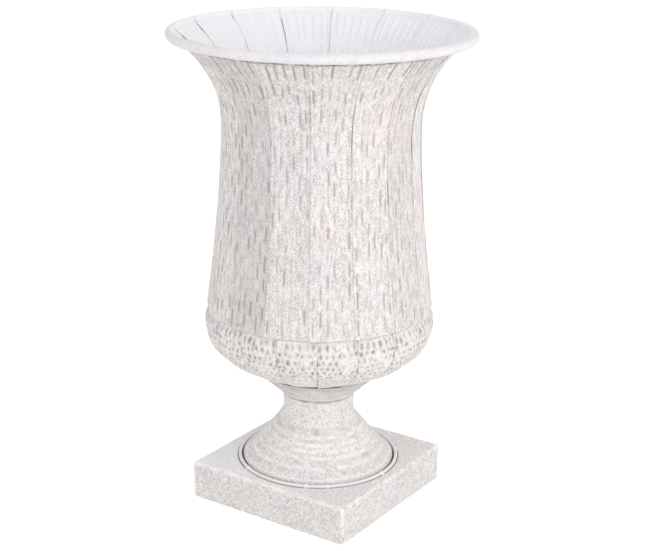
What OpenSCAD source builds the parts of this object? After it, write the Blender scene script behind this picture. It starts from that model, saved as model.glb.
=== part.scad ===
/* [Metal] */
// Thickness of the sheet in the staves, petals and rim
sheet_t = 0.8; // [0.5:0.1:1.5]
// Thickness of the spun and folded pieces of the base
base_t = 1.2; // [0.8:0.1:2]
// Gap left between sheets that lap and pieces that nest
seat_gap = 0.15; // [0.1:0.05:0.3]

/* [Plinth] */
// Side of the square plinth
plinth_w = 192; // [170:1:230]
// Height of the plinth
plinth_h = 40; // [30:1:90]
// Radius of the bends along the plinth's edges
plinth_edge_r = 2.6; // [1.5:0.1:5]
// Width of the hem folded in under the plinth's walls
plinth_hem = 8; // [4:0.5:20]

/* [Foot ring] */
// Distance of the wire ring's middle line inside the plinth's sides
ring_inset = 12; // [10:0.5:16]
// Diameter of the ring's wire
wire_d = 3; // [2:0.1:4]
// Slit between the ring and the hole in the plinth
ring_slit = 0.7; // [0.3:0.1:1]
// Width of a tack weld that holds the ring
tack_w = 3.6; // [2:0.1:6]

/* [Pedestal] */
// Height of the pedestal above the plinth
pedestal_h = 77.3; // [60:0.1:120]
// Distance of the pedestal's skirt inside the ring's middle line
skirt_inset = 3.7; // [3:0.1:10]
// Height of the skirt above the plinth
skirt_h = 3; // [2.5:0.5:8]
// Width of the shallow brim between the skirt and the foot
brim_w = 3; // [1.5:0.1:6]
// Height that the brim gains over its width
brim_rise = 1.2; // [0.6:0.1:3]
// Radius of the pedestal's neck
neck_r = 37.2; // [30:0.1:39]
// Depth of the neck's narrowest place below the collar
neck_drop = 22; // [8:0.5:28]
// Radius that the neck gains up to the collar
neck_flare = 1.8; // [0.5:0.1:2]
// Height of the turned ridges on the pedestal
ridge_h = 0.5; // [0:0.1:1.2]

/* [Collar] */
// Height of the collar between the pedestal and the bowl
collar_h = 27.5; // [20:0.1:40]
// Radius of the collar's lower edge
collar_base_r = 41.5; // [41.2:0.1:50]
// Radius of the bowl where it lands on the collar
bowl_foot_r = 69.5; // [60:0.5:80]

/* [Bowl] */
// Number of petals around the bowl
petal_count = 18; // [12:1:20]
// Height of the bowl from the collar to the body's edge
bowl_h = 68; // [50:1:100]
// Depth of the belly's widest place below the body's edge
belly_drop = 16; // [12:1:24]
// Radius that the belly gains over the body's edge
belly_swell = 1.4; // [0.4:0.1:3]
// Length of petal tucked up inside the body
tuck_h = 11; // [6:0.5:20]
// Length of petal turned in over the collar
petal_foot = 6; // [4:0.5:8]
// Width of the lap between petals at the belly
petal_lap = 6; // [4:0.5:10]

/* [Body] */
// Number of staves around the body
stave_count = 16; // [12:1:20]
// Height of the body from its lower edge to the stave tips
body_h = 284.65; // [200:0.05:400]
// Radius of the body's lower edge
body_base_r = 117; // [110:0.5:140]
// Height of the waist above the body's lower edge
waist_rise = 185; // [120:1:190]
// Radius of the waist
waist_r = 100.4; // [85:0.1:109]
// Radius of the mouth at the stave tips
mouth_r = 150.5; // [120:0.1:170]
// Width of the lap between staves at the waist
stave_lap = 6; // [4:0.5:10]

/* [Rim] */
// Diameter of the rolled rim
rim_d = 10; // [9:0.5:16]
// Depth of the rim's centre below the stave tips
rim_drop = 2.65; // [2:0.05:3]
// Distance of the rim's centre inside the stave tips
rim_inset = 0.5; // [0.2:0.1:0.8]

/* [Fixings] */
// Diameter of the tie bolt
bolt_d = 8; // [5:0.5:10]
// Width across the corners of the bolt's head and the nut
hex_d = 15; // [15:0.5:20]
// Height of the bolt's head and of the nut
hex_h = 6; // [4:0.5:10]
// Diameter of the washers
washer_d = 30; // [22:1:40]
// Thickness of the washers
washer_t = 2; // [1:0.5:4]
// Width of the bar under the plinth
bar_w = 40; // [30:1:60]
// Thickness of the bar under the plinth
bar_t = 3; // [2:0.5:6]
// Thread that shows below the nut
thread_end = 4; // [2:0.5:6]

/* [Hidden] */
stave_pitch = 360 / stave_count;
petal_pitch = 360 / petal_count;
// Turn of the first edge seen between staves and between petals, against the plinth
stave_seam_a = 6.6;
petal_seam_a = 4.4;
// Turn of the rolled rim's upper lip around the rim's section
rim_lip_a = 128;
// Where the tack welds lie around the ring
tack_angles = [-116, -64, -49, -3, 41, 88, 131, 176];

ring_r = plinth_w / 2 - ring_inset;
skirt_r = ring_r - skirt_inset;
z_bar = plinth_h - base_t;
z_collar = plinth_h + pedestal_h;
z_bowl = z_collar + collar_h + seat_gap;
z_body = z_bowl + bowl_h;
z_belly = z_body - belly_drop;
z_waist = z_body + waist_rise;
z_tips = z_body + body_h;
z_rim = z_tips - rim_drop;
z_skirt = plinth_h + skirt_h;
z_brim = z_skirt + brim_rise;
z_neck = z_collar - neck_drop;
belly_r = body_base_r + belly_swell;

// How the lapped sheets are set apart
lap_share = 1.04;
tuck_share = 1.6;
band_share = 1.25;
probe = sheet_t / 100;
pass = sheet_t + seat_gap;
z_tuck = z_body - 3 * pass;
tuck_in = sheet_t + tuck_share * pass;

// How full each curve is
bowl_curve = 2.4;
joggle_curve = 1.8;
body_curve = 1.54;
mouth_curve = 2.4;
foot_curve = 1.2;
neck_curve = 2;

// Where the turned ridges lie on the pedestal, from the skirt to the neck
ridge_shares = [0.2, 0.36, 0.465, 0.56, 0.68];
ridge_half_w = 1.9 * ridge_h + base_t;

stave_names = [for (i = [1 : stave_count]) str("stave_", i < 10 ? "0" : "", i)];
petal_names = [for (i = [1 : petal_count]) str("petal_", i < 10 ? "0" : "", i)];
base_names = ["rim_bead", "bowl_floor", "collar", "pedestal", "foot_ring", "plinth", "bridge_bar",
              "tie_bolt", "bowl_washer", "foot_washer", "foot_nut"];
$fn = 96;

function share_of(z, from, to) = (z - from) / (to - from);

// Radius of the staves' outer face at a height
stave_r = function (z)
    z < z_waist
    ? waist_r + (body_base_r - waist_r) * pow(share_of(z, z_waist, z_body), body_curve)
    : waist_r + (mouth_r - waist_r) * pow(share_of(z, z_waist, z_tips), mouth_curve);

// Radius of the petals' outer face at a height: straight foot, full bowl, joggle and tuck
petal_r = function (z)
    z < z_bowl
    ? bowl_foot_r + (z - z_bowl) * bowl_curve * (belly_r - bowl_foot_r) / (z_belly - z_bowl)
    : z < z_belly
    ? belly_r - (belly_r - bowl_foot_r) * pow(share_of(z, z_belly, z_bowl), bowl_curve)
    : z < z_tuck
    ? belly_r - (belly_r - stave_r(z_tuck) + tuck_in) * pow(share_of(z, z_belly, z_tuck), joggle_curve)
    : stave_r(z) - tuck_in;

// Radius of the pedestal's outer face at a height, with its turned ridges
ridge = function (z)
    ridge_h * max([for (s = ridge_shares) exp(-pow((z - z_skirt - s * (z_neck - z_skirt)) / ridge_half_w, 2))]);
pedestal_r = function (z)
    z < z_skirt
    ? skirt_r
    : z < z_brim
    ? skirt_r - brim_w * share_of(z, z_skirt, z_brim)
    : z < z_neck
    ? neck_r + (skirt_r - brim_w - neck_r) * pow(share_of(z, z_neck, z_brim), foot_curve) + ridge(z)
    : neck_r + neck_flare * pow(share_of(z, z_neck, z_collar), neck_curve);

// Lean of an outline from the vertical at a height, in degrees
function lean(f, z) = atan((f(z + probe) - f(z - probe)) / (2 * probe));

// A point set in from an outline, square to it
function set_in(f, z, depth) = [f(z) - depth * cos(lean(f, z)), z + depth * sin(lean(f, z))];

// Section of a sheet of even thickness that follows an outline
function section(f, heights, thickness) = concat(
    [for (z = heights) [f(z), z]],
    [for (i = [len(heights) - 1 : -1 : 0]) set_in(f, heights[i], thickness)]);

// Heights spaced evenly, or closer towards the start where the power is above one
function heights(from, to, steps, power = 1) = [for (i = [0 : steps]) from + (to - from) * pow(i / steps, power)];

// Sideways shift and tilt that pass each panel's left edge over its neighbour's right edge:
// at two heights the sheets then clear each other by exactly one gap
function need(count) = lap_share * pass / (2 * sin(180 / count));
function reach(f, z, z0) = [cos(lean(f, z)), (z - z0) * cos(lean(f, z)) + f(z) * sin(lean(f, z))];
function cross2(a, b) = a[0] * b[1] - a[1] * b[0];
function lap_set(f, low, high, count) =
    let (a = reach(f, low, low), b = reach(f, high, low), n = need(count), d = cross2(a, b))
    [n * (b[1] - a[1]) / d, n * (a[0] - b[0]) / d];

// Half of the band that a ring of lapped panels takes up, at a height
function half_band(f, z, z0, set, turn) = band_share * sin(turn) * (reach(f, z, z0) * set);

stave_lap_a = stave_lap / waist_r * 180 / PI;
petal_lap_a = petal_lap / belly_r * 180 / PI;
stave_set = lap_set(stave_r, z_body, z_tips - probe, stave_count);
petal_set = lap_set(petal_r, z_bowl, z_tuck - 2 * probe, petal_count);
stave_turn = stave_seam_a + (stave_pitch + stave_lap_a) / 2 + asin(stave_set[0] / waist_r);
petal_turn = petal_seam_a + (petal_pitch + petal_lap_a) / 2 + asin(petal_set[0] / belly_r);
tip_band = half_band(stave_r, z_tips - probe, z_body, stave_set, (stave_pitch + stave_lap_a) / 2);
foot_band = half_band(petal_r, z_bowl, z_bowl, petal_set, (petal_pitch + petal_lap_a) / 2);

foot_lean = lean(petal_r, z_bowl);
foot_drop = petal_foot / tan(foot_lean);

// The bowl floor's flat, under which the petals' feet end
floor_set_in = sheet_t + foot_band + 2 * seat_gap;
floor_r = bowl_foot_r - petal_foot;
z_floor = z_bowl - foot_drop + floor_set_in * sin(foot_lean);
floor_rim = petal_foot + 3 * base_t;
z_bolt_head = z_floor + base_t + washer_t;
z_foot_washer = z_bar - bar_t - washer_t;
z_foot_nut = z_foot_washer - hex_h;

// A wedge of a ring, shifted and tilted so that it laps its neighbours
module panel(profile, pitch, lap, set, z0, turn) {
    rotate([0, 0, turn])
    translate([0, -set[0], z0])
    rotate([asin(set[1]), 0, 0])
    translate([0, 0, -z0])
    rotate([0, 0, -(pitch + lap) / 2])
    rotate_extrude(angle = pitch + lap)
    polygon(profile);
}

// A stave of the body: embossed sheet, rolled to the waist and flared to the mouth
module stave(i) {
    color("#ebe6e0")
    panel(section(stave_r, heights(z_body, z_tips, 28), sheet_t),
          stave_pitch, stave_lap_a, stave_set, z_body, stave_turn + i * stave_pitch);
}

// A petal of the bowl: pressed sheet from the collar up into the body
module petal(i) {
    foot = [z_bowl - foot_drop];
    bowl = heights(z_bowl, z_belly, 14, 1.6);
    joggle = [for (z = heights(z_belly, z_tuck, 6)) if (z > z_belly) z];
    color("#e4dfd9")
    panel(section(petal_r, concat(foot, bowl, joggle, [z_body + tuck_h]), sheet_t),
          petal_pitch, petal_lap_a, petal_set, z_bowl, petal_turn + i * petal_pitch);
}

// The rolled rim: a tube left open along its inside, where it takes the stave tips
module rim_bead() {
    slot_w = sheet_t + 2 * tip_band + 2 * seat_gap;
    centre = [mouth_r - rim_inset, z_rim];
    lip = [cos(rim_lip_a), sin(rim_lip_a)] * rim_d;
    slot_start = [stave_r(z_rim), z_rim];
    slot_a = 270 - lean(stave_r, z_rim);
    slot_way = [cos(slot_a), sin(slot_a)] * rim_d;
    color("#f0edea")
    rotate_extrude()
    difference() {
        translate(centre) circle(d = rim_d);
        translate(centre) circle(d = rim_d - 2 * sheet_t);
        polygon([centre, centre + lip, centre + [-rim_d, rim_d], centre + [-rim_d, 0],
            slot_start + slot_way, slot_start + slot_way / 2]);
        translate(slot_start)
        rotate(slot_a)
        translate([0, -sheet_t - tip_band - seat_gap])
        square([rim_d, slot_w]);
    }
}

// The dish that closes the bowl and clamps the petals' feet
module bowl_floor() {
    rim = [floor_rim * sin(foot_lean), floor_rim * cos(foot_lean)];
    wall = [-base_t * cos(foot_lean), base_t * sin(foot_lean)];
    bend = [floor_r, z_floor];
    color("#d9d5d0")
    rotate_extrude()
    polygon([
        [bolt_d / 2 + seat_gap, z_floor],
        bend,
        bend + rim,
        bend + rim + wall,
        [floor_r + wall[0] + (base_t - wall[1]) * tan(foot_lean), z_floor + base_t],
        [bolt_d / 2 + seat_gap, z_floor + base_t]]);
}

// The conical collar that carries the bowl
module collar() {
    top = set_in(petal_r, z_bowl, -foot_band - seat_gap);
    wall = base_t * sqrt(2);
    color("#dcd7d1")
    rotate_extrude()
    polygon([
        [bolt_d / 2 + seat_gap, z_collar],
        [collar_base_r - base_t / 2, z_collar],
        [collar_base_r, z_collar + base_t / 2],
        [top[0], top[1]],
        [top[0] - wall, top[1] - wall / tan(foot_lean)],
        [collar_base_r - wall, z_collar + base_t],
        [bolt_d / 2 + seat_gap, z_collar + base_t]]);
}

// The spun pedestal: open below, closed above by a flat that the collar stands on
module pedestal() {
    side = section(pedestal_r, concat([z_skirt, z_brim], heights(z_brim + base_t, z_collar - base_t, 44)), base_t);
    half = len(side) / 2;
    outer = [for (i = [0 : half - 1]) side[i]];
    inner = [for (i = [half : 2 * half - 1]) side[i]];
    color("#dad5cf")
    rotate_extrude()
    polygon(concat(
        [[skirt_r, z_bar]],
        outer,
        [[pedestal_r(z_collar), z_collar],
         [bolt_d / 2 + seat_gap, z_collar],
         [bolt_d / 2 + seat_gap, z_collar - base_t]],
        [for (p = inner) if (p[1] < z_collar - base_t && p[0] < skirt_r - base_t) p],
        [[skirt_r - base_t, z_skirt - base_t],
         [skirt_r - base_t, z_bar]]));
}

// The wire ring in the plinth's hole, with the tack welds that hold it to the hole's edge
module foot_ring() {
    hole_r = ring_r + wire_d / 2 + ring_slit;
    tack_a = tack_w / ring_r * 180 / PI;
    color("#efece8")
    union() {
        rotate_extrude()
        translate([ring_r, plinth_h + wire_d / 4])
        circle(d = wire_d);
        for (a = tack_angles)
        rotate([0, 0, a - tack_a / 2])
        rotate_extrude(angle = tack_a)
        polygon([
            [ring_r, plinth_h - base_t / 2],
            [hole_r, plinth_h - base_t / 2],
            [hole_r, plinth_h],
            [hole_r + tack_w / 3, plinth_h],
            [hole_r, plinth_h + wire_d / 4],
            [ring_r, plinth_h + wire_d]]);
    }
}

// Plan or side view of the plinth, with two or four of its corners rounded
module rounded(w, h, r, lower = true) {
    translate([r - w / 2, 0]) square([w - 2 * r, h]);
    translate([-w / 2, lower ? r : 0]) square([w, lower ? h - 2 * r : h - r]);
    for (x = [r - w / 2, w / 2 - r])
    for (y = lower ? [r, h - r] : [h - r])
    translate([x, y]) circle(r = r);
}

// A block with rounded upper edges and corners, standing on z = 0
module soft_block(w, h, r) {
    intersection() {
        linear_extrude(h) translate([0, -w / 2]) rounded(w, w, r);
        translate([0, w / 2, 0]) rotate([90, 0, 0]) linear_extrude(w) rounded(w, h, r, false);
        translate([-w / 2, 0, 0]) rotate([90, 0, 90]) linear_extrude(w) rounded(w, h, r, false);
    }
}

// The plinth: a folded sheet box, open below, with a hem and a round hole for the foot
module plinth() {
    inside_w = plinth_w - 2 * base_t;
    color("#dbd6d0")
    difference() {
        soft_block(plinth_w, plinth_h, plinth_edge_r);
        translate([0, 0, base_t])
        soft_block(inside_w, plinth_h - 2 * base_t, plinth_edge_r - base_t);
        translate([plinth_hem - plinth_w / 2, plinth_hem - plinth_w / 2, -base_t])
        cube([plinth_w - 2 * plinth_hem, plinth_w - 2 * plinth_hem, 3 * base_t]);
        cylinder(r = ring_r + wire_d / 2 + ring_slit, h = 2 * plinth_h);
    }
}

// The flat bar welded under the plinth's top, on which the pedestal stands
module bridge_bar() {
    length = plinth_w - 2 * base_t - 2 * seat_gap - plinth_edge_r;
    color("#8f8c88")
    difference() {
        translate([-length / 2, -bar_w / 2, z_bar - bar_t]) cube([length, bar_w, bar_t]);
        translate([0, 0, z_bar - 2 * bar_t]) cylinder(d = bolt_d + 2 * seat_gap, h = 3 * bar_t);
    }
}

// The bolt that ties the bowl floor, collar, pedestal and plinth together
module tie_bolt() {
    low = z_foot_nut - thread_end;
    color("#b9b8b4")
    union() {
        translate([0, 0, low]) cylinder(d = bolt_d, h = z_bolt_head - low);
        translate([0, 0, z_bolt_head]) cylinder(d = hex_d, h = hex_h, $fn = 6);
    }
}

module washer(z) {
    color("#c2c1bd")
    translate([0, 0, z])
    difference() {
        cylinder(d = washer_d, h = washer_t);
        translate([0, 0, -washer_t]) cylinder(d = bolt_d + 2 * seat_gap, h = 3 * washer_t);
    }
}

module bowl_washer() {
    washer(z_floor + base_t);
}

module foot_washer() {
    washer(z_foot_washer);
}

module foot_nut() {
    color("#b9b8b4")
    translate([0, 0, z_foot_nut])
    difference() {
        cylinder(d = hex_d, h = hex_h, $fn = 6);
        translate([0, 0, -hex_h]) cylinder(d = bolt_d + 2 * seat_gap, h = 3 * hex_h);
    }
}

for (i = [0 : stave_count - 1]) stave(i);
for (i = [0 : petal_count - 1]) petal(i);
rim_bead();
bowl_floor();
collar();
pedestal();
foot_ring();
plinth();
bridge_bar();
tie_bolt();
bowl_washer();
foot_washer();
foot_nut();
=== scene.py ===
"""A tall urn-shaped vase of whitewashed sheet steel, on a turned pedestal and a square plinth."""

import math

import bpy
import numpy as np
from mathutils import Matrix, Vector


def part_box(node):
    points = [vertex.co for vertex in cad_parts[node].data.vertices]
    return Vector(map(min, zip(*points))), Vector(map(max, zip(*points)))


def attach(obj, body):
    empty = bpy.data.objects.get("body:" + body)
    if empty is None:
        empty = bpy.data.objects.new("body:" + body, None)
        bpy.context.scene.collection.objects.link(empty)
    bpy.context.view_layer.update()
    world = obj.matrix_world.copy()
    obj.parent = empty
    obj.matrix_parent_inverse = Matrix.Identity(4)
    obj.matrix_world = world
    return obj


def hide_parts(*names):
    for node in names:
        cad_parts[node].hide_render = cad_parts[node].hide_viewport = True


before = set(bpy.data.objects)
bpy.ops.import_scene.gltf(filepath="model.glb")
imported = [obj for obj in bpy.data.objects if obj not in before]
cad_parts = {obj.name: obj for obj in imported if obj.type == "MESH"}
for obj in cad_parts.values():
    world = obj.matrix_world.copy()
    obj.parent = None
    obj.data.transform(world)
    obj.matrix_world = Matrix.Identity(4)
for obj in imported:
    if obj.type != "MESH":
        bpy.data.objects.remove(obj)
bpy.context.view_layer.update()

# The view and the light.
# The photograph looks down on a corner of the plinth from 1.5 m away, in soft light from the
# front right, on plain white paper.
CAMERA_PLACE = (0.8265, -1.2114, 0.7279)
CAMERA_TURN = math.radians(34.09)
CAMERA_PITCH = math.radians(71.68)
CAMERA_ROLL = math.radians(0.635)
SENSOR_MM = 36.0
LENS_MM = 82.18
LIGHT_AIM = 0.27
SKY_STRENGTH = 0.72
PAPER_GLOW = 0.16
SEEN_LIFT = 0.36
FLOOR_HALF = 6.0

camera_data = bpy.data.cameras.new("camera")
camera_data.sensor_width = SENSOR_MM
camera_data.lens = LENS_MM
camera = bpy.data.objects.new("camera", camera_data)
camera.matrix_world = (Matrix.Translation(CAMERA_PLACE) @ Matrix.Rotation(CAMERA_TURN, 4, "Z")
                       @ Matrix.Rotation(CAMERA_PITCH, 4, "X") @ Matrix.Rotation(CAMERA_ROLL, 4, "Z"))
bpy.context.scene.collection.objects.link(camera)
bpy.context.scene.camera = camera
bpy.context.scene.view_settings.view_transform = "Standard"


def add_node(tree, kind, values=None, links=None, **settings):
    """Adds a shader node, sets its sockets and links each named input to (node, output)."""
    node = tree.nodes.new(kind)
    for name, value in settings.items():
        setattr(node, name, value)
    for socket, value in (values or {}).items():
        node.inputs[socket].default_value = value
    for socket, (other, output) in (links or {}).items():
        tree.links.new(other.outputs[output], node.inputs[socket])
    return node


def linear(hex_colour):
    """Turns an sRGB hex colour such as #ffffff into linear red, green, blue and alpha."""
    parts = [int(hex_colour[i:i + 2], 16) / 255 for i in (1, 3, 5)]
    return tuple(c / 12.92 if c <= 0.04045 else ((c + 0.055) / 1.055) ** 2.4 for c in parts) + (1.0,)


def add_light(name, turn, height, distance, size, watts, colour):
    """Hangs a square soft light at a turn around the vase, to the camera's right, facing its middle."""
    around = math.radians(turn) + CAMERA_TURN
    data = bpy.data.lights.new(name, "AREA")
    data.shape = "SQUARE"
    data.size = size
    data.energy = watts
    data.color = linear(colour)[:3]
    light = bpy.data.objects.new(name, data)
    place = np.array([math.sin(around), -math.cos(around), 0.0]) * distance + np.array([0, 0, height])
    aim = np.array([0, 0, LIGHT_AIM]) - place
    flat = math.hypot(aim[0], aim[1])
    light.location = place
    light.rotation_euler = (math.atan2(flat, -aim[2]), 0.0, math.atan2(-aim[0], aim[1]))
    bpy.context.scene.collection.objects.link(light)


add_light("key_light", 42.0, 1.20, 1.9, 1.9, 16.8, "#fffdfa")
add_light("fill_light", -50.0, 1.10, 2.2, 1.6, 7.0, "#fbf9ff")

world = bpy.data.worlds.new("studio")
bpy.context.scene.world = world
world.use_nodes = True
sky = world.node_tree
sky.nodes.clear()
rays = add_node(sky, "ShaderNodeLightPath")
seen = add_node(sky, "ShaderNodeMath", operation="MAXIMUM",
                links={0: (rays, "Is Camera Ray"), 1: (rays, "Is Transmission Ray")})
seen = add_node(sky, "ShaderNodeMath", operation="MAXIMUM",
                links={0: (seen, 0), 1: (rays, "Is Glossy Ray")})
soft = add_node(sky, "ShaderNodeBackground", {"Color": linear("#fcfcff"), "Strength": SKY_STRENGTH})
paper = add_node(sky, "ShaderNodeBackground", {"Color": (1, 1, 1, 1), "Strength": 1.0})
both = add_node(sky, "ShaderNodeMixShader", links={0: (seen, 0), 1: (soft, 0), 2: (paper, 0)})
add_node(sky, "ShaderNodeOutputWorld", links={"Surface": (both, 0)})


def white_paper():
    """Paper that keeps a soft shadow: a bright diffuse white, lifted a little more where it is seen."""
    material = bpy.data.materials.new("white_paper")
    material.use_nodes = True
    tree = material.node_tree
    tree.nodes.clear()
    path = add_node(tree, "ShaderNodeLightPath")
    seen = add_node(tree, "ShaderNodeMath", operation="MAXIMUM",
                    links={0: (path, "Is Camera Ray"), 1: (path, "Is Glossy Ray")})
    lift = add_node(tree, "ShaderNodeMath", {1: SEEN_LIFT, 2: PAPER_GLOW}, {0: (seen, 0)},
                    operation="MULTIPLY_ADD")
    glow = add_node(tree, "ShaderNodeEmission", {"Color": (1, 1, 1, 1)}, {"Strength": (lift, 0)})
    matte = add_node(tree, "ShaderNodeBsdfDiffuse", {"Color": linear("#ededed")})
    total = add_node(tree, "ShaderNodeAddShader", links={0: (glow, 0), 1: (matte, 0)})
    add_node(tree, "ShaderNodeOutputMaterial", links={"Surface": (total, 0)})
    return material


floor_mesh = bpy.data.meshes.new("floor")
floor_mesh.from_pydata([(-FLOOR_HALF, -FLOOR_HALF, 0), (FLOOR_HALF, -FLOOR_HALF, 0),
                        (FLOOR_HALF, FLOOR_HALF, 0), (-FLOOR_HALF, FLOOR_HALF, 0)], [], [(0, 1, 2, 3)])
floor = bpy.data.objects.new("floor", floor_mesh)
floor_mesh.materials.append(white_paper())
bpy.context.scene.collection.objects.link(floor)

# The plinth.
# A square box folded from 1.2 mm steel sheet and open below, with a hem turned in under its walls and a
# round hole in its top. Its sandy whitewash is rubbed thin along the bends, which also paints their
# highlight, its top is lightened as painted light, and painted shade darkens the slit round the foot ring
# and the underside seen through it.
MM = 0.001
BASE_SHEET = 1.2
SEAT_GAP = 0.15
PLINTH_SIDE = (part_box("plinth")[1][0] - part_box("plinth")[0][0]) / MM
PLINTH_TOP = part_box("plinth")[1][2] / MM
PLINTH_BEND = 2.6
PLINTH_HEM = 8.0
RING_R = 84.0
RING_WIRE = 3.0
RING_SLIT = 0.7
HOLE_R = RING_R + RING_WIRE / 2 + RING_SLIT
TACKS = np.radians([-116, -64, -49, -3, 41, 88, 131, 176])
TACK_WIDTH = 3.6
PLINTH_COLUMNS = 480
LEAST_BEND = 0.9
CORNER_WEAR = 2.5
EDGE_WEAR = 1.6
DENT_SIZE = 46.0
PITTING_SIZE = 9.0


def waves(points, size, seed, count=16):
    """Soft unevenness of about unit height: the sum of sine waves in random directions, each
    about one size long, over points in mm."""
    rng = np.random.default_rng(seed)
    ways = rng.normal(size=(count, 3))
    ways /= np.linalg.norm(ways, axis=1)[:, None]
    lengths = size * rng.uniform(0.75, 1.7, count)
    starts = rng.uniform(0, 2 * np.pi, count)
    total = sum(np.sin(points @ (2 * np.pi / l * w) + s) for w, l, s in zip(ways, lengths, starts))
    return total / math.sqrt(count)


def quads(rows, columns, close_rows=False, close_columns=True):
    """Four-sided faces between neighbours on a grid numbered row by row, closed round where asked."""
    i = np.arange(rows if close_rows else rows - 1)[:, None]
    j = np.arange(columns if close_columns else columns - 1)[None, :]
    up = (i + 1) % rows
    on = (j + 1) % columns
    corners = [i * columns + j, i * columns + on, up * columns + on, up * columns + j]
    return np.stack([np.broadcast_to(c, (i.size, j.size)) for c in corners], -1).reshape(-1, 4)


def make_piece(name, points, faces, material, marks=None, sharp=40.0):
    """Puts points in mm and faces into a mesh object, with its marks as point attributes."""
    mesh = bpy.data.meshes.new(name)
    mesh.from_pydata((points.reshape(-1, 3) * MM).tolist(), [], faces.tolist())
    mesh.polygons.foreach_set("use_smooth", np.ones(len(faces), dtype=bool))
    for label, values in (marks or {}).items():
        layer = mesh.attributes.new(label, "FLOAT", "POINT")
        layer.data.foreach_set("value", np.asarray(values, dtype=np.float32).ravel())
    mesh.set_sharp_from_angle(angle=math.radians(sharp))
    mesh.materials.append(material)
    piece = bpy.data.objects.new(name, mesh)
    bpy.context.scene.collection.objects.link(piece)
    return piece


def dress(piece, node):
    """Attaches the piece to the root body and hides the CAD node that it stands for."""
    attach(piece, "root")
    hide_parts(node)


CLOUD_SIZE = 55.0
PATCH_SHARE = 0.35
WORN_FROM, WORN_TO = 0.61, 0.80
RAGGED = 1.5
# The dark grey-brown of painted shade in slits, gaps, seams and under parts, also on the unpainted sheet
# seen only through them
PAINTED_SHADE_DARK = "#6b655f"
SAND_HEIGHT = 0.6 * MM


def sanded_whitewash(name, chalk, wash, stain, grit, patch, brushed=1.0, bump=0.5, inside=None):
    """Matte sandy whitewash brushed on pressed steel: chalk white and grey-beige wash broken up by grit,
    faint pink and lavender clouds over them, stain where one attribute marks it, which on some parts is
    painted shade, the plain inside colour where inside marks it, and a dark grey-brown painted shade where
    another attribute marks it. A third attribute takes wash away, as wear and as painted light and
    highlights, or adds it below zero, which on some staves is painted shade. Grit and patch are in mm, and
    brushed draws the patches out upright by so many times."""
    material = bpy.data.materials.new(name)
    material.use_nodes = True
    tree = material.node_tree
    tree.nodes.clear()
    place = add_node(tree, "ShaderNodeTexCoord")
    grains = add_node(tree, "ShaderNodeTexNoise", {"Scale": 1000 / grit, "Detail": 2.0, "Roughness": 0.6,
                                                   "Distortion": 0.7}, {"Vector": (place, "Object")})
    drawn = add_node(tree, "ShaderNodeVectorMath", {1: (1.0, 1.0, 1.0 / brushed)}, {0: (place, "Object")},
                     operation="MULTIPLY")
    patches = add_node(tree, "ShaderNodeTexNoise", {"Scale": 1000 / patch, "Detail": 3.0, "Roughness": 0.6},
                       {"Vector": (drawn, 0)})
    clouds = add_node(tree, "ShaderNodeTexNoise", {"Scale": 1000 / CLOUD_SIZE, "Detail": 1.0},
                      {"Vector": (place, "Object")})
    mixed = add_node(tree, "ShaderNodeMath", {1: PATCH_SHARE}, {0: (patches, "Fac"), 2: (grains, "Fac")},
                     operation="MULTIPLY_ADD")
    worn = add_node(tree, "ShaderNodeMapRange", {"From Min": WORN_FROM, "From Max": WORN_TO},
                    {"Value": (mixed, 0)}, interpolation_type="SMOOTHSTEP")
    edge = add_node(tree, "ShaderNodeAttribute", attribute_name="wear_and_painted_light")
    thin = add_node(tree, "ShaderNodeMath", links={0: (worn, 0), 1: (edge, "Fac")},
                    operation="SUBTRACT", use_clamp=True)
    base = add_node(tree, "ShaderNodeMix", {6: linear(chalk), 7: linear(wash)}, {0: (thin, 0)},
                    data_type="RGBA")
    stain_and_shade = add_node(tree, "ShaderNodeAttribute", attribute_name="stain_and_shade")
    ragged = add_node(tree, "ShaderNodeMath", {1: RAGGED, 2: -RAGGED / 2}, {0: (grains, "Fac")},
                      operation="MULTIPLY_ADD")
    ragged = add_node(tree, "ShaderNodeMath", links={0: (stain_and_shade, "Fac"), 1: (ragged, 0)},
                      operation="SUBTRACT")
    kept = add_node(tree, "ShaderNodeMapRange", {"From Min": 0.0, "From Max": 1.1}, {"Value": (ragged, 0)},
                    interpolation_type="SMOOTHSTEP")
    base = add_node(tree, "ShaderNodeMix", {7: linear(stain)}, {0: (kept, 0), 6: (base, 2)},
                    data_type="RGBA")
    tint = add_node(tree, "ShaderNodeValToRGB", links={0: (clouds, "Fac")})
    tint.color_ramp.elements[0].position = 0.36
    tint.color_ramp.elements[0].color = linear("#fffcfc")
    tint.color_ramp.elements[1].position = 0.64
    tint.color_ramp.elements[1].color = linear("#fcfcff")
    tint.color_ramp.elements.new(0.5).color = linear("#fffffd")
    base = add_node(tree, "ShaderNodeMix", {0: 1.0}, {6: (base, 2), 7: (tint, 0)}, data_type="RGBA",
                    blend_type="MULTIPLY")
    if inside:
        within = add_node(tree, "ShaderNodeAttribute", attribute_name="inside")
        base = add_node(tree, "ShaderNodeMix", {7: linear(inside)}, {0: (within, "Fac"), 6: (base, 2)},
                        data_type="RGBA")
    painted_shade = add_node(tree, "ShaderNodeAttribute", attribute_name="painted_shade")
    base = add_node(tree, "ShaderNodeMix", {7: linear(PAINTED_SHADE_DARK)}, {0: (painted_shade, "Fac"), 6: (base, 2)},
                    data_type="RGBA")
    sand = add_node(tree, "ShaderNodeBump", {"Strength": bump, "Distance": SAND_HEIGHT},
                    {"Height": (mixed, 0)})
    steel = add_node(tree, "ShaderNodeBsdfPrincipled", {"Roughness": 0.85, "IOR": 1.45, "Metallic": 0.0},
                     {"Base Color": (base, 2), "Normal": (sand, 0)})
    add_node(tree, "ShaderNodeOutputMaterial", links={"Surface": (steel, 0)})
    return material


# The whitewash on the spun and folded base, gritty and greyer than on the rim
base_steel = sanded_whitewash("sanded_whitewash_on_spun_steel", "#fffefc", "#c8c1bb", "#c0b4ad",
                              grit=1.05, patch=3.6, bump=1.1)


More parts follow.
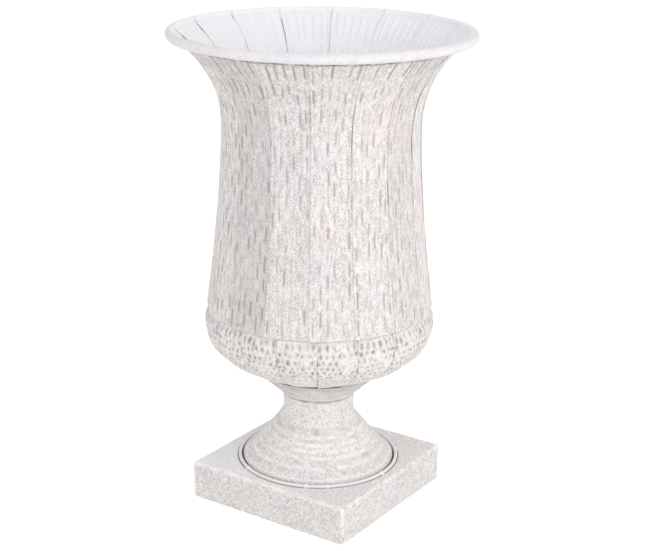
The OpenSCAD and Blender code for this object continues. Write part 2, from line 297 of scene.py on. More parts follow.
def square_ring(count, half, bend):
    """Points of a square outline with round corners, spread evenly along it, starting at a corner."""
    straight = 2 * (half - bend)
    arc = bend * np.pi / 2
    along = np.arange(count) / count * 4 * (straight + arc)
    side, rest = np.divmod(along, straight + arc)
    turn = np.clip((rest - straight) / arc, 0, 1) * np.pi / 2
    x = np.full(count, half) - bend + bend * np.cos(turn)
    y = np.minimum(rest, straight) - (half - bend) + bend * np.sin(turn)
    quarter = side * np.pi / 2
    turned = [x * np.cos(quarter) - y * np.sin(quarter), x * np.sin(quarter) + y * np.cos(quarter)]
    return np.stack(turned, -1)


def plinth_surface():
    """Rings from the hem's inner edge, up the outside, over the bend and in to the hole, then back
    down the inside: each ring is a square with round corners that turns into the hole's circle.
    With the points come how far the whitewash is rubbed thin, with painted highlight and painted light in
    it, and where painted shade darkens it."""
    half = PLINTH_SIDE / 2
    wall = BASE_SHEET
    bend = PLINTH_BEND
    turn = np.linspace(0, np.pi / 2, 7)
    side = np.linspace(0.6, PLINTH_TOP - bend, 30)
    top = np.linspace(0, 1, 40)[1:] ** 1.1
    back = np.linspace(0, 1, 14)
    # Each row of the profile is (inset from the side, height, share of the way to the circle)
    hem_in = [(d, wall if k else 0, 0) for k, d in ((1, PLINTH_HEM), (0, PLINTH_HEM))]
    rows = [hem_in[0], hem_in[1], (PLINTH_HEM / 2, 0, 0), (0.6, 0, 0)]
    rows += [(0, z, 0) for z in side]
    rows += [(bend * (1 - math.cos(t)), PLINTH_TOP - bend + bend * math.sin(t), 0) for t in turn[1:]]
    rows += [(bend, PLINTH_TOP, s) for s in top]
    rows += [(bend, PLINTH_TOP - wall, s) for s in back[::-1]]
    rows += [(wall, z, 0) for z in np.linspace(PLINTH_TOP - bend, wall, 8)]
    points = []
    wear_and_painted_light = []
    for inset, z, share in rows:
        ring = square_ring(PLINTH_COLUMNS, half - inset, max(bend - inset, LEAST_BEND))
        angle = np.arctan2(ring[:, 1], ring[:, 0])
        circle = HOLE_R * np.stack([np.cos(angle), np.sin(angle)], -1)
        flat = ring * (1 - share) + circle * share
        points.append(np.column_stack([flat, np.full(PLINTH_COLUMNS, z)]))
        off_side = np.minimum(*np.abs(np.abs(flat.T) - half))
        off_corner = off_side + np.abs(np.abs(flat[:, 0]) - np.abs(flat[:, 1]))
        # The bends are rubbed light: wear, and also a painted highlight along them
        corner = np.exp(-((off_corner / CORNER_WEAR) ** 2))
        upper = math.exp(-(((z - PLINTH_TOP + EDGE_WEAR / 2) / EDGE_WEAR) ** 2) - (share * 15) ** 2)
        wear_and_painted_light.append(0.45 * np.maximum(corner if z < PLINTH_TOP else 0 * corner, upper))
    points = np.array(points)
    # The rubbed edges are broken up; the top is lightened all over and most on its left, as painted light
    # against the shade of the vase above, and the sides keep a little more wash
    broken = waves(points.reshape(-1, 3), 11.0, 5).reshape(points.shape[:2])
    wear_and_painted_light = np.array(wear_and_painted_light) * (1 + 0.9 * broken)
    painted_light_left = (-(points[..., 0] * 0.83 + points[..., 1] * 0.56) / half - 0.35).clip(0, 0.6)
    wear_and_painted_light += (0.12 + 0.6 * painted_light_left) * (points[..., 2] > PLINTH_TOP - 0.5)
    wear_and_painted_light -= 0.1 * (points[..., 2] < PLINTH_TOP - 3)
    # Painted shade darkens the slit beside the foot ring, but not at the tack welds
    near = np.exp(-(((np.hypot(points[..., 0], points[..., 1]) - HOLE_R) / 0.8) ** 2))
    off = (np.arctan2(points[..., 1], points[..., 0])[..., None] - TACKS + np.pi) % (2 * np.pi) - np.pi
    slit_shade = 0.9 * near * (np.abs(off).min(-1) * HOLE_R > TACK_WIDTH / 3)
    # The underside, seen only through the slit, is unpainted sheet darkened as painted shade
    underside = [z == PLINTH_TOP - wall or inset == wall for inset, z, _ in rows]
    unpainted_shade = np.where(underside, 0.7, 0.0)
    slit_shade = np.maximum(slit_shade, unpainted_shade[:, None])
    # Soft dents and fine pitting, square to the face they lie in
    outward = points * [1, 1, 0] / half
    dents = waves(points.reshape(-1, 3), DENT_SIZE, 3).reshape(wear_and_painted_light.shape) * 0.22
    dents = dents - np.abs(waves(points.reshape(-1, 3), PITTING_SIZE, 4)).reshape(wear_and_painted_light.shape) * 0.14 - 0.1
    face = (np.abs(outward[..., 0]) > np.abs(outward[..., 1]))[..., None] * [1, 0, 0]
    face = np.where(face.any(-1, keepdims=True), face, [0, 1, 0]) * np.sign(outward)
    on_side = np.array([0 < z < PLINTH_TOP - bend / 2 and inset < wall for inset, z, _ in rows])
    on_top = np.array([z == PLINTH_TOP and share < 0.97 for _, z, share in rows])
    points += face * (dents * on_side[:, None])[..., None]
    points[..., 2] += np.minimum(dents, 0) * on_top[:, None] * 0.6
    return points, wear_and_painted_light, slit_shade


plinth_points, plinth_wear_and_light, plinth_painted_shade = plinth_surface()
plinth_faces = quads(*plinth_points.shape[:2], close_rows=True)
plinth_marks = {"wear_and_painted_light": plinth_wear_and_light.clip(-0.3, 1), "stain_and_shade": 0 * plinth_wear_and_light, "painted_shade": plinth_painted_shade}
plinth = make_piece("plinth_shell", plinth_points, plinth_faces, base_steel, plinth_marks, sharp=50)
dress(plinth, "plinth")

# The foot ring.
# A ring of 3 mm wire that lies in the plinth's hole with a thin slit round it, held to the
# hole's edge by a few tack welds, all under the same whitewash.
RING_Z = PLINTH_TOP + RING_WIRE / 4
PAINTED_WIRE_R = 0.61 * RING_WIRE
TACK_REACH = RING_SLIT + 1.8

# The same whitewash on the rolled rim and the wire ring, fine and almost white
rim_steel = sanded_whitewash("sanded_whitewash_on_rolled_steel", "#f4f1f2", "#dfdbdb", "#b9b2ab",
                             grit=1.0, patch=4.0, bump=0.5, inside="#fdfdff")


def wire_ring():
    """A tube round the axis whose section swells outwards, to the hole's edge, at each tack weld."""
    around = np.linspace(0, 2 * np.pi, 720, endpoint=False)
    about = np.linspace(0, 2 * np.pi, 20, endpoint=False)
    off = (around[:, None] - TACKS[None, :] + np.pi) % (2 * np.pi) - np.pi
    tack = np.exp(-((off * RING_R / TACK_WIDTH * 2.2) ** 4)).max(1)
    a = about[:, None]
    outward = np.cos(a).clip(0, 1) ** 2
    upward = 0.5 + 0.5 * np.sin(a)
    reach = PAINTED_WIRE_R + tack[None, :] * outward * TACK_REACH * (0.4 + 0.6 * upward)
    r = RING_R + reach * np.cos(a)
    z = RING_Z + PAINTED_WIRE_R * np.sin(a) * (1 + 0.5 * tack[None, :] * upward)
    points = np.stack([r * np.cos(around), r * np.sin(around), z], -1)
    points[..., 2] += waves(points.reshape(-1, 3), 60.0, 9).reshape(z.shape) * 0.12
    return points


ring_points = wire_ring()
ring_even = np.ones(ring_points.shape[:2])
ring_faces = quads(*ring_points.shape[:2], close_rows=True)
foot_ring = make_piece("foot_ring_wire", ring_points, ring_faces, rim_steel,
                       {"wear_and_painted_light": ring_even, "stain_and_shade": 0 * ring_even, "painted_shade": 0 * ring_even})
dress(foot_ring, "foot_ring")

# The pedestal.
# One shell spun from 1.2 mm steel: a low upright skirt with a shallow brim, a flaring foot with
# turned ridges and a narrow neck, closed above by a flat that the collar stands on.
PEDESTAL_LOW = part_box("pedestal")[0][2] / MM
PEDESTAL_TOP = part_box("pedestal")[1][2] / MM
SKIRT_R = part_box("pedestal")[1][0] / MM
SKIRT_TOP = PLINTH_TOP + 3.0
BRIM_WIDTH = 3.0
BRIM_TOP = SKIRT_TOP + 1.2
NECK_R = 37.2
NECK_Z = PEDESTAL_TOP - 22.0
NECK_FLARE = 1.8
NECK_EASE = 0.06
NECK_BAND = 8.0
FOOT_POWER = 1.2
BOLT_HOLE_R = 4.0 + SEAT_GAP
RIDGES = (0.2, 0.36, 0.465, 0.56, 0.68)
RIDGE_HEIGHT = 0.5
RIDGE_SHARE = 0.032
FINE_PITCH = 2.4
FINE_HEIGHT = 0.07


def foot_outline(z):
    """Radius of the foot at a height: a straight brim, then the neck's radius plus the share of the
    way down from the neck to a power of 1.2, eased in, and a slight flare above the neck."""
    share = (NECK_Z - z) / (NECK_Z - BRIM_TOP)
    below = ((share + np.hypot(share, NECK_EASE)) / 2) ** FOOT_POWER
    above = ((z - NECK_Z) / (PEDESTAL_TOP - NECK_Z)).clip(0, 1) ** 2
    foot = NECK_R + (SKIRT_R - BRIM_WIDTH - NECK_R) * below + NECK_FLARE * above
    brim = SKIRT_R - BRIM_WIDTH * (z - SKIRT_TOP) / (BRIM_TOP - SKIRT_TOP)
    return np.where(z < BRIM_TOP, brim, foot)


def turned_ridges(z):
    """Height of the ridges left by the spinning tool: a rounded step at each place, with fine lines."""
    share = (z - SKIRT_TOP) / (NECK_Z - SKIRT_TOP)
    big = sum(np.exp(-(((share - s) / RIDGE_SHARE) ** 2)) for s in RIDGES)
    fade = ((share * 8 - 0.5).clip(0, 1)) * ((0.9 - share) * 5).clip(0, 1)
    return RIDGE_HEIGHT * big, FINE_HEIGHT * np.sin(z * 2 * np.pi / FINE_PITCH) * fade


def spin(profile, columns=384):
    """Turns a closed outline of radius and height, drawn anticlockwise, round the axis."""
    around = np.linspace(0, 2 * np.pi, columns, endpoint=False)
    r = profile[:, 0][:, None]
    z = np.broadcast_to(profile[:, 1][:, None], (len(profile), columns))
    return np.stack([r * np.cos(around), r * np.sin(around), z], -1)


def leans(profile):
    """Unit normals of an outline, to the right of its way along."""
    way = np.gradient(profile, axis=0)
    way /= np.linalg.norm(way, axis=1)[:, None]
    return np.column_stack([way[:, 1], -way[:, 0]])


def pedestal_surface():
    """Skirt, foot and neck as one outline, set in by the sheet's thickness for the inner side, with
    which of its points lie on the foot's outside and how high the ridges stand there."""
    z = np.concatenate([[SKIRT_TOP], np.linspace(SKIRT_TOP + 0.3, BRIM_TOP, 4),
                        np.linspace(BRIM_TOP + 0.4, PEDESTAL_TOP - 0.4, 130)])
    big, fine = turned_ridges(z)
    foot = np.column_stack([foot_outline(z), z])
    foot = foot + leans(foot) * (big + fine - RIDGE_HEIGHT * 0.25)[:, None]
    foot[0] = [SKIRT_R - 0.35, SKIRT_TOP + 0.1]
    skirt = np.column_stack([np.full(9, SKIRT_R), np.linspace(PEDESTAL_LOW, SKIRT_TOP - 0.5, 9)])
    flat_r = foot_outline(np.array([PEDESTAL_TOP]))[0] - 0.3
    under = PEDESTAL_TOP - BASE_SHEET
    top = np.array([[flat_r, PEDESTAL_TOP], [30, PEDESTAL_TOP], [15, PEDESTAL_TOP],
                    [BOLT_HOLE_R, PEDESTAL_TOP], [BOLT_HOLE_R, under], [15, under], [30, under]])
    inner = foot[::-4] - leans(foot)[::-4] * BASE_SHEET
    inner = inner[(inner[:, 1] < under - BASE_SHEET) & (inner[:, 0] < SKIRT_R - 1.5 * BASE_SHEET)]
    lip_r = SKIRT_R - BASE_SHEET
    lip = np.array([[lip_r, SKIRT_TOP - BASE_SHEET], [lip_r, PEDESTAL_LOW]])
    profile = np.vstack([skirt, foot, top, inner, lip])
    marks = np.zeros(len(profile))
    marks[len(skirt):len(skirt) + len(foot)] = 1
    crest = np.zeros(len(profile))
    crest[len(skirt):len(skirt) + len(foot)] = big / RIDGE_HEIGHT
    return profile, marks, crest


pedestal_profile, foot_marks, crests = pedestal_surface()
pedestal_points = spin(pedestal_profile)
flat_points = pedestal_points.reshape(-1, 3)
uneven = waves(flat_points, 34.0, 21).reshape(pedestal_points.shape[:2]) * 0.16
off_axis = np.maximum(np.linalg.norm(pedestal_points[..., :2], axis=-1), 1)
outwards = pedestal_points * [1, 1, 0] / off_axis[..., None]
pedestal_points = pedestal_points + outwards * (uneven * foot_marks[:, None])[..., None]
broken = waves(flat_points, 10.0, 22).reshape(uneven.shape)
pedestal_height = pedestal_profile[:, 1]
on_neck = pedestal_height > NECK_Z - NECK_BAND
between = foot_marks * (1 - crests) * (~on_neck & (pedestal_height > BRIM_TOP + 3))
pedestal_stain_and_shade = (between[:, None] * (0.20 + 0.16 * broken)).clip(0, 0.9)
# The brim's band is darkened as painted shade
brim_shade = foot_marks * (pedestal_height < BRIM_TOP - 0.1) * 0.25
# Painted shadow: a dark line under the collar, at the top of the neck
collar_shadow = np.exp(-(((pedestal_height - PEDESTAL_TOP) / 3.0) ** 4)) * foot_marks
pedestal_stain_and_shade = np.maximum(pedestal_stain_and_shade, brim_shade[:, None])
# Painted shade on the skirt below the plinth's top, seen only through the slit
shade_down_inside = 0.9 * (pedestal_height < PLINTH_TOP + 0.3)
pedestal_shade = (collar_shadow[:, None] * (0.7 + 0.2 * broken) + shade_down_inside[:, None]).clip(0, 1)
# A painted highlight along the brim's top edge
brim_highlight = np.exp(-(((pedestal_height - BRIM_TOP) / 0.5) ** 2))
pedestal_wear_and_highlight = (foot_marks * (0.06 * on_neck + 0.7 * brim_highlight))[:, None]
pedestal_wear_and_highlight = pedestal_wear_and_highlight + crests[:, None] * (0.3 + 0.3 * broken)
pedestal_faces = quads(*pedestal_points.shape[:2], close_rows=True)
pedestal = make_piece("pedestal_shell", pedestal_points, pedestal_faces, base_steel,
                      {"wear_and_painted_light": pedestal_wear_and_highlight.clip(0, 1), "stain_and_shade": pedestal_stain_and_shade, "painted_shade": pedestal_shade})
dress(pedestal, "pedestal")

# The bar and the tie bolt.
# A flat steel bar welded under the plinth's top, and the bolt, washers and nut that pull the
# bowl, collar and pedestal down on it. None of them is seen in the photograph.
ZINC_SPOTS = 2.38
MILL_SCALE = 3.85
SCALE_HEIGHT = 0.5 * MM


def zinc_plate():
    """Bright zinc plating on turned steel: a soft metal sheen with faint mottling."""
    material = bpy.data.materials.new("zinc_plated_steel")
    material.use_nodes = True
    tree = material.node_tree
    tree.nodes.clear()
    place = add_node(tree, "ShaderNodeTexCoord")
    spots = add_node(tree, "ShaderNodeTexNoise", {"Scale": 1000 / ZINC_SPOTS, "Detail": 3.0},
                     {"Vector": (place, "Object")})
    colour = add_node(tree, "ShaderNodeMix", {6: linear("#b3b4b2"), 7: linear("#8f918f")},
                      {0: (spots, "Fac")}, data_type="RGBA")
    rough = add_node(tree, "ShaderNodeMapRange", {"To Min": 0.28, "To Max": 0.5}, {"Value": (spots, "Fac")})
    steel = add_node(tree, "ShaderNodeBsdfPrincipled", {"Metallic": 1.0},
                     {"Base Color": (colour, 2), "Roughness": (rough, 0)})
    add_node(tree, "ShaderNodeOutputMaterial", links={"Surface": (steel, 0)})
    return material


def grey_primer():
    """Flat grey primer on hot-rolled bar: dull, with fine mill scale showing through."""
    material = bpy.data.materials.new("grey_primer_on_flat_bar")
    material.use_nodes = True
    tree = material.node_tree
    tree.nodes.clear()
    place = add_node(tree, "ShaderNodeTexCoord")
    scale = add_node(tree, "ShaderNodeTexNoise", {"Scale": 1000 / MILL_SCALE, "Detail": 5.0},
                     {"Vector": (place, "Object")})
    colour = add_node(tree, "ShaderNodeMix", {6: linear("#8d8a86"), 7: linear("#75716d")},
                      {0: (scale, "Fac")}, data_type="RGBA")
    bump = add_node(tree, "ShaderNodeBump", {"Strength": 0.2, "Distance": SCALE_HEIGHT},
                    {"Height": (scale, "Fac")})
    paint = add_node(tree, "ShaderNodeBsdfPrincipled", {"Roughness": 0.7},
                     {"Base Color": (colour, 2), "Normal": (bump, 0)})
    add_node(tree, "ShaderNodeOutputMaterial", links={"Surface": (paint, 0)})
    return material


zinc = zinc_plate()
primer = grey_primer()
for node in ("tie_bolt", "bowl_washer", "foot_washer", "foot_nut", "bridge_bar"):
    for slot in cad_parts[node].material_slots:
        slot.material = primer if node == "bridge_bar" else zinc

# The collar.
# A dish spun from 1.2 mm steel, with a flat bottom that stands on the pedestal and a straight
# sloping side whose edge carries the petals of the bowl.
COLLAR_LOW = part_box("collar")[0][2] / MM
COLLAR_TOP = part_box("collar")[1][2] / MM
COLLAR_TOP_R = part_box("collar")[1][0] / MM
COLLAR_BASE_R = 41.5
COLLAR_HEEL_R = 0.6
COLLAR_SAG = 0.3
COLLAR_GROOVE = 0.3
COLLAR_EDGE = 0.75


def collar_surface():
    """Flat bottom, rounded heel, sloping side and edge, then the same set in for the inner side. The
    side sags between its ends by a half wave, with one shallow groove above the heel."""
    heel = np.linspace(-np.pi / 2, 0.1, 7)
    bottom = np.array([[BOLT_HOLE_R, COLLAR_LOW], [15, COLLAR_LOW], [30, COLLAR_LOW]])
    centre = np.array([[COLLAR_BASE_R - COLLAR_HEEL_R, COLLAR_LOW + COLLAR_HEEL_R]])
    bend = centre + COLLAR_HEEL_R * np.column_stack([np.cos(heel), np.sin(heel)])
    share = np.concatenate([np.linspace(0.02, 0.3, 14)[:-1], np.linspace(0.3, 1, 20)])[:, None]
    side = (centre + [COLLAR_HEEL_R, 0]) * (1 - share) + np.array([[COLLAR_TOP_R, COLLAR_TOP]]) * share
    side[:, 0] -= COLLAR_SAG * np.sin(np.pi * share[:, 0])
    side[:, 0] -= COLLAR_GROOVE * np.exp(-(((share[:, 0] - 0.13) / 0.07) ** 2))
    wall = BASE_SHEET * math.sqrt(2)
    inner_top = np.array([[COLLAR_TOP_R - wall, COLLAR_TOP - COLLAR_EDGE]])
    inner = np.array([[COLLAR_BASE_R - wall, COLLAR_LOW + BASE_SHEET], [25, COLLAR_LOW + BASE_SHEET],
                      [BOLT_HOLE_R, COLLAR_LOW + BASE_SHEET]])
    return np.vstack([bottom, bend, side, inner_top, inner])


collar_profile = collar_surface()
collar_points = spin(collar_profile)
collar_flat = collar_points.reshape(-1, 3)
collar_uneven = waves(collar_flat, 12.0, 31).reshape(collar_points.shape[:2])
collar_climb = (collar_profile[:, 1] - COLLAR_LOW) / (COLLAR_TOP - COLLAR_LOW)
collar_groove = np.exp(-(((collar_climb - 0.12) / 0.05) ** 2))
# Painted shade: the collar darker towards its top, under the petals, and in its groove
collar_shade = (0.10 + 0.45 * collar_climb + 0.15 * collar_groove)[:, None] + 0.12 * collar_uneven
collar_shade = collar_shade.clip(0, 1) * (collar_climb > 0.07)[:, None]
# A painted highlight on the heel
collar_heel_highlight = (0.25 * (collar_climb < 0.08))[:, None] + 0 * collar_uneven
collar_faces = quads(*collar_points.shape[:2], close_rows=True)
collar = make_piece("collar_shell", collar_points, collar_faces, base_steel,
                    {"wear_and_painted_light": collar_heel_highlight, "stain_and_shade": collar_shade, "painted_shade": 0 * collar_uneven})
dress(collar, "collar")

# The bowl's petals.
# Eighteen pressed gores of 0.8 mm steel, each puffed out a little and dimpled all over. Each laps
# over the right edge of the neighbour on its left, and its top is tucked up inside the staves.
SHEET = 0.8
Z_BOWL = 144.95
Z_BODY = Z_BOWL + 68.0
Z_TIPS = Z_BODY + 284.65
Z_BELLY = Z_BODY - 16.0
Z_WAIST = Z_BODY + 185.0
Z_TUCK = Z_BODY - 3 * (SHEET + SEAT_GAP)
BODY_BASE_R = 117.0
BELLY_R = BODY_BASE_R + 1.4
FOOT_R = 69.5
WAIST_R = 100.4
MOUTH_R = 150.5
TUCK_IN = SHEET + 1.6 * (SHEET + SEAT_GAP)
PETALS = 18
STAVES = 16
PETAL_SEAM = 4.4
STAVE_SEAM = 6.6
LAP = 6.0
LAP_SHARE = 1.04
WAIST_POWER = 1.54
FLARE_POWER = 2.4
BOWL_POWER = 2.4
JOGGLE_POWER = 1.8


def stave_outline(z):
    """Radius of the staves at a height: the waist's radius plus a power of the share of the way
    down to the body's edge, or up to the mouth."""
    down = ((Z_WAIST - z) / (Z_WAIST - Z_BODY)).clip(0, 2) ** WAIST_POWER
    up = ((z - Z_WAIST) / (Z_TIPS - Z_WAIST)).clip(0, 2) ** FLARE_POWER
    return WAIST_R + (BODY_BASE_R - WAIST_R) * down + (MOUTH_R - WAIST_R) * up


def petal_outline(z):
    """Radius of the petals at a height: straight foot, full bowl to the power 2.4, joggle and tuck."""
    foot = FOOT_R + (z - Z_BOWL) * BOWL_POWER * (BELLY_R - FOOT_R) / (Z_BELLY - Z_BOWL)
    bowl = BELLY_R - (BELLY_R - FOOT_R) * ((Z_BELLY - z) / (Z_BELLY - Z_BOWL)).clip(0, 1) ** BOWL_POWER
    inset = stave_outline(np.array([Z_TUCK]))[0] - TUCK_IN
    joggle = BELLY_R - (BELLY_R - inset) * ((z - Z_BELLY) / (Z_TUCK - Z_BELLY)).clip(0, 1) ** JOGGLE_POWER
    tuck = stave_outline(z) - TUCK_IN
    return np.where(z < Z_BOWL, foot, np.where(z < Z_BELLY, bowl, np.where(z < Z_TUCK, joggle, tuck)))


def slope(outline, z):
    """Lean of an outline from the vertical at a height, as an angle."""
    step = 0.01
    z = np.asarray(z, dtype=float)
    return np.arctan((outline(z + step) - outline(z - step)) / (2 * step))


def lap_set(outline, low, high, count):
    """Sideways shift and tilt of a panel that pass its left edge over its neighbour's right edge,
    one sheet and one gap apart at two heights."""
    need = LAP_SHARE * (SHEET + SEAT_GAP) / (2 * math.sin(math.pi / count))
    rows = []
    for z in (low, high):
        r = outline(np.array([z]))[0]
        lean = slope(outline, np.array([z]))[0]
        rows.append([math.cos(lean), (z - low) * math.cos(lean) + r * math.sin(lean)])
    return np.linalg.solve(np.array(rows), np.array([need, need]))


def along(outline, low, high, count):
    """Heights spaced evenly along an outline's length, with the length up to each."""
    z = np.linspace(low, high, 2000)
    length = np.concatenate([[0], np.cumsum(np.hypot(np.diff(z), np.diff(outline(z))))])
    even = np.linspace(0, length[-1], count)
    return np.interp(even, length, z), even


def seat(points, turn, setting, z0):
    """Tilts a panel about its own middle, shifts it sideways and turns it to its place in the ring."""
    shift, tilt = setting
    x, y, z = points[..., 0], points[..., 1], points[..., 2] - z0
    c, s = math.cos(math.asin(tilt)), tilt
    y, z = y * c - z * s - shift, y * s + z * c + z0
    c, s = math.cos(turn), math.sin(turn)
    return np.stack([x * c - y * s, x * s + y * c, z], -1)


def panel_faces(rows, columns):
    """Faces of a thin closed panel: the outer grid, the inner grid turned over and a strip round."""
    size = rows * columns
    outer = quads(rows, columns, close_columns=False)
    grid = np.arange(size).reshape(rows, columns)
    edge = np.concatenate([grid[0, :-1], grid[:-1, -1], grid[-1, :0:-1], grid[:0:-1, 0]])
    following = np.roll(edge, -1)
    strip = np.stack([following, edge, edge + size, following + size], -1)
    return np.vstack([outer, outer[:, ::-1] + size, strip])


# The same whitewash on the dimpled bowl, with darker wash left in the dimples
petal_steel = sanded_whitewash("sanded_whitewash_on_dimpled_steel", "#fdfbf9", "#d6d0cb", "#a29b93",
                               grit=1.05, patch=5.0, bump=0.7, inside="#fdfdff")
PETAL_ROWS, PETAL_COLUMNS = 124, 52
PETAL_CROWN = 2.0
PETAL_PINCH = 0.8
DIMPLE_DEPTH = 0.8
DIMPLE_ROWS = 17
PETAL_ABOVE = 11.0
PETAL_CLAMPED = 6.0


def dimples(across, down, seed):
    """Depth of the dimples over a petal, from 0 to 1. They lie in staggered rows, long ovals at the
    top and smaller, rounder ones closer together lower down. Across and down are in mm."""
    rng = np.random.default_rng(seed)
    depth = np.zeros_like(across)
    warp = np.column_stack([across.ravel(), down.ravel(), 0 * down.ravel()])
    across = across + 0.7 * waves(warp, 7.0, seed + 40).reshape(across.shape)
    down = down + 0.8 * waves(warp, 7.0, seed + 80).reshape(across.shape)
    row_at = 7.6
    step = 7.9
    for row in range(DIMPLE_ROWS):
        half_w = 2.0 if row == 0 else max(1.3, 2.2 - 0.10 * row)
        half_l = 4.8 if row == 0 else half_w * rng.uniform(1.1, 1.6)
        pitch = 6.9 if row == 0 else 5.9
        for column in range(-5, 6):
            middle = (column + 0.5 * (row % 2)) * pitch + rng.normal(0, 0.55)
            level = row_at + rng.normal(0, 0.7)
            wide = half_w * rng.uniform(0.72, 1.12)
            tall = half_l * rng.uniform(0.8, 1.15)
            deep = rng.uniform(0.55, 1.0)
            if rng.random() < 0.1:
                continue
            reach = ((across - middle) / wide) ** 2 + ((down - level) / tall) ** 2
            depth = np.maximum(depth, deep * np.exp(-(reach ** 1.2)))
        row_at += step
        step = max(4.4, step - 0.55)
    return depth


def petal_surface(index, rows, columns):
    """One petal: the bowl's outline turned through an eighteenth of a circle and its lap, puffed out
    between its seams and pushed in at each dimple, with the sheet's thickness behind. With it come the wash
    in its dimples, the inside, and painted shade: dark specks and a line along its seam, specks at its foot
    and a shadow line just under the staves' edge."""
    pitch = 2 * math.pi / PETALS
    lap = LAP / BELLY_R
    setting = lap_set(petal_outline, Z_BOWL, Z_TUCK - 0.016, PETALS)
    foot = Z_BOWL - PETAL_CLAMPED / math.tan(slope(petal_outline, Z_BOWL - 1))
    z, length = along(petal_outline, foot, Z_BODY + PETAL_ABOVE, rows)
    r = petal_outline(z)
    lean = slope(petal_outline, z)
    z, r, lean = z[:, None], r[:, None], lean[:, None]
    phi = np.linspace(-(pitch + lap) / 2, (pitch + lap) / 2, columns)[None, :]
    edge_length = np.interp(Z_BODY, z[:, 0], length)
    down = (edge_length - length)[:, None] + 0 * phi
    shrink = 0.35 + 0.65 * r / BELLY_R
    dots = dimples(phi * BELLY_R * (r / BELLY_R) / shrink, down / (0.25 + 0.75 * shrink), 100 + index)
    dots = dots * (down > 1.5) * ((down - 1.5) / 2).clip(0, 1)
    share = phi / ((pitch + lap) / 2)
    rise = ((z - Z_BOWL) / 16).clip(0, 1) * ((Z_BODY - 1 - z) / 10).clip(0, 1)
    rise = rise * rise * (3 - 2 * rise)
    crown = rise * (PETAL_CROWN * (1 - np.abs(share) ** 2.5) - PETAL_PINCH)
    n = np.stack([np.cos(lean) * np.cos(phi), np.cos(lean) * np.sin(phi), -np.sin(lean) + 0 * phi], -1)
    skin = np.stack([r * np.cos(phi), r * np.sin(phi), z + 0 * phi], -1)
    bumps = waves(skin.reshape(-1, 3), 15.0, 200 + index).reshape(dots.shape) * 0.10
    free = ((Z_BODY - 0.5 - z) / 3).clip(0, 1) * ((z - Z_BOWL) / 4).clip(0, 1)
    skin = skin + n * (crown + (bumps - DIMPLE_DEPTH * dots) * free)[..., None]
    back = skin - n * SHEET
    turn = math.radians(PETAL_SEAM) + (pitch + lap) / 2 + math.asin(setting[0] / BELLY_R) + pitch * index
    rng = np.random.default_rng(300 + index)
    # Painted shade: dark specks in the seam's holes, a line along the seam, specks at its foot and a shadow
    # line just under the staves' edge
    petal_shade = np.zeros_like(dots)
    beside = (phi - (pitch - lap) / 2) * r
    for level, size in zip(rng.uniform(18, 78, 5), rng.uniform(0.4, 1.0, 5)):
        petal_shade += size * np.exp(-((beside / 1.1) ** 2 + ((down - level) / 2.0) ** 2) ** 2)
    petal_shade += rng.uniform(0.25, 0.5) * np.exp(-((beside / 0.8) ** 4))
    petal_shade += rng.uniform(0.3, 1.0) * np.exp(-((beside / 2.0) ** 2 + ((z - Z_BOWL - 1.6) / 1.2) ** 2) ** 2)
    petal_shade += 0.26 * np.exp(-(((down - 1.0) / 1.0) ** 4))
    marks = {"stain_and_shade": np.stack([dots, 0 * dots]), "inside": np.stack([0 * dots, 1 + 0 * dots]),
             "painted_shade": np.stack([petal_shade, 0 * dots]).clip(0, 1), "wear_and_painted_light": 0 * np.stack([dots, dots])}
    return seat(np.stack([skin, back]), turn, setting, Z_BOWL), marks


petal_faces = panel_faces(PETAL_ROWS, PETAL_COLUMNS)
for index in range(PETALS):
    points, marks = petal_surface(index, PETAL_ROWS, PETAL_COLUMNS)
    petal = make_piece(f"petal_skin_{index + 1:02d}", points, petal_faces, petal_steel, marks)
    dress(petal, f"petal_{index + 1:02d}")

# The bowl's floor.
# A shallow dish of 1.2 mm steel that closes the bowl and clamps the petals' feet on the collar,
# painted plain white like the inside of the vase.
FLOOR_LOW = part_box("bowl_floor")[0][2] / MM

# Smooth white paint on the inside, with hardly any grit
inner_steel = sanded_whitewash("smooth_white_inside_paint", "#f6f6fa", "#ecebf0", "#d9d6da",
                               grit=2.5, patch=30.0, bump=0.04)


def floor_surface():
    """A flat disc with a bolt hole, a soft bend and a rim that slopes up with the petals."""
    lean = slope(petal_outline, Z_BOWL - 1)
    bend_r = FOOT_R - PETAL_CLAMPED
    length = PETAL_CLAMPED + 3 * BASE_SHEET
    bend = np.array([bend_r, FLOOR_LOW])
    rim = np.array([math.sin(lean), math.cos(lean)])
    inwards = np.array([-math.cos(lean), math.sin(lean)]) * BASE_SHEET
    top = FLOOR_LOW + BASE_SHEET
    under = [[BOLT_HOLE_R, FLOOR_LOW], [30, FLOOR_LOW], [bend_r - 1.5, FLOOR_LOW]]
    under += [list(bend + rim * d) for d in (1.5, 5.0, length)]
    over = [list(bend + rim * d + inwards) for d in (length, 5.0, 2.0)]
    over += [[bend_r - 2.5, top], [30, top], [BOLT_HOLE_R, top]]
    return np.array(under + over)


floor_points = spin(floor_surface(), 192)
floor_zero = np.zeros(floor_points.shape[:2])
floor_faces = quads(*floor_points.shape[:2], close_rows=True)
bowl_floor = make_piece("bowl_floor_dish", floor_points, floor_faces, inner_steel,
                        {"wear_and_painted_light": floor_zero, "stain_and_shade": floor_zero, "painted_shade": floor_zero})
dress(bowl_floor, "bowl_floor")

